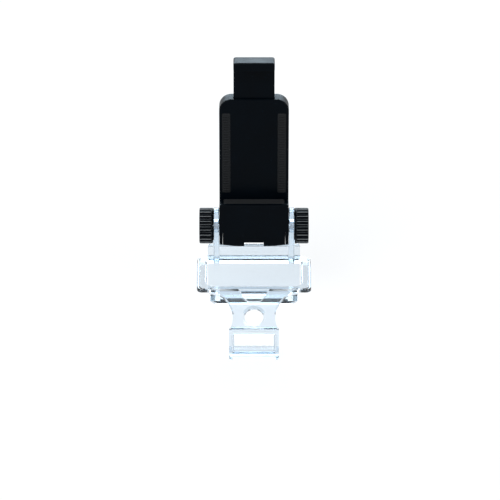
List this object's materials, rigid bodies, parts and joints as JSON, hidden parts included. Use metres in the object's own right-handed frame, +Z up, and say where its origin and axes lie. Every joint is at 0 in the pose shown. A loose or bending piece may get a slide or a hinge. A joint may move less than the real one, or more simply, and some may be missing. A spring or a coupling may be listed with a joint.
{
  "type": "controller phone clip",
  "caption": "Clear bracket that hooks over a game handset, with a black spring clamp for a flat device that tilts between two ears under thumb knobs.",
  "frame": {"origin": "centre of the window on the underside of the bracket's top plate, where it lies on the handset", "axes": "+Z up from the handset, -Y towards the user, +X to the user's right"},
  "size_m": [0.0562, 0.073, 0.1344],
  "materials": {
    "clear_plastic": "clear polished",
    "black_plastic": "fine satin texture",
    "knob_plastic": "satin",
    "soft_rubber": "matte",
    "bright_steel": "zinc plated",
    "screw_steel": "blackened",
    "washer_fibre": "fibre"
  },
  "bodies": {
    "bracket": {"clear_bracket": "clear_plastic"},
    "clamp": {"clamp_housing": "black_plastic", "rear_cover": "black_plastic", "cover_screws": "screw_steel", "lower_jaw_pad": "soft_rubber", "lower_spring_pin": "bright_steel", "left_back_pad": "soft_rubber", "left_spring": "bright_steel", "left_hinge_nut": "bright_steel", "left_friction_washer": "washer_fibre", "right_back_pad": "soft_rubber", "right_spring": "bright_steel", "right_hinge_nut": "bright_steel", "right_friction_washer": "washer_fibre"},
    "jaw": {"sliding_arm": "black_plastic", "upper_jaw_pad": "soft_rubber", "upper_spring_pin": "bright_steel"},
    "left_thumb": {"left_knob": "knob_plastic", "left_hinge_screw": "bright_steel", "left_knob_cap": "knob_plastic"},
    "right_thumb": {"right_knob": "knob_plastic", "right_hinge_screw": "bright_steel", "right_knob_cap": "knob_plastic"}
  },
  "joints": [
    {"name": "clamp_tilt", "type": "hinge", "parent": "bracket", "child": "clamp", "pos_m": [0, 0.0165, 0.01887], "axis": [1, 0, 0], "range_deg": [-75, 100]},
    {"name": "jaw_slide", "type": "slide", "parent": "clamp", "child": "jaw", "axis": [0, 0.2079, 0.9781], "range_m": [-0.0185, 0.014], "stiffness_N_per_m": 150, "deforming": ["left_spring", "right_spring"]},
    {"name": "left_knob_turn", "type": "hinge", "parent": "clamp", "child": "left_thumb", "pos_m": [-0.0236, 0.0165, 0.01887], "axis": [-1, 0, 0], "range_deg": [0, 360]},
    {"name": "right_knob_turn", "type": "hinge", "parent": "clamp", "child": "right_thumb", "pos_m": [0.0236, 0.0165, 0.01887], "axis": [1, 0, 0], "range_deg": [0, 360]}
  ]
}
